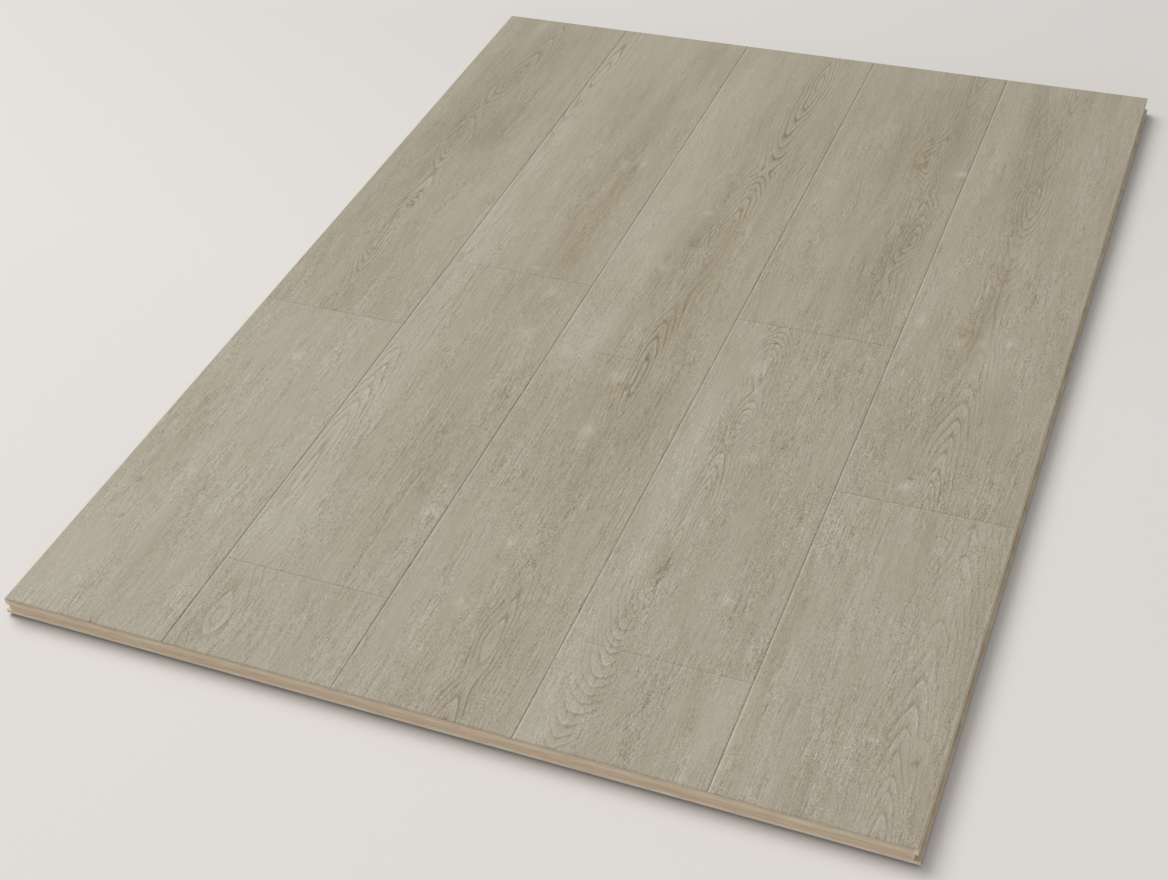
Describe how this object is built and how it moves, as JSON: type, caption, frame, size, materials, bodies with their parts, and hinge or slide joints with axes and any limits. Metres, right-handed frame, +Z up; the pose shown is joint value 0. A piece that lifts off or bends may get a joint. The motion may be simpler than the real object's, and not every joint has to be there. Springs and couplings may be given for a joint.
{
  "type": "vinyl plank flooring board",
  "caption": "Flat rectangular flooring board with a scored and embossed wood-look face and a milled groove along each long side.",
  "frame": {"origin": "centre of the flat underside, at the level that the board lies on", "axes": "+Z up, out of the printed face; +Y along the strips and the milled long sides, away from the front end; +X across the board, to the right seen from the front end"},
  "size_m": [0.766, 1.048, 0.02],
  "materials": {
    "oak_print_vinyl": "satin embossed greige oak print on top, plain tan-greige cut edges and underside"
  },
  "bodies": {
    "root": {"vinyl_plank_board": "oak_print_vinyl"}
  },
  "joints": []
}
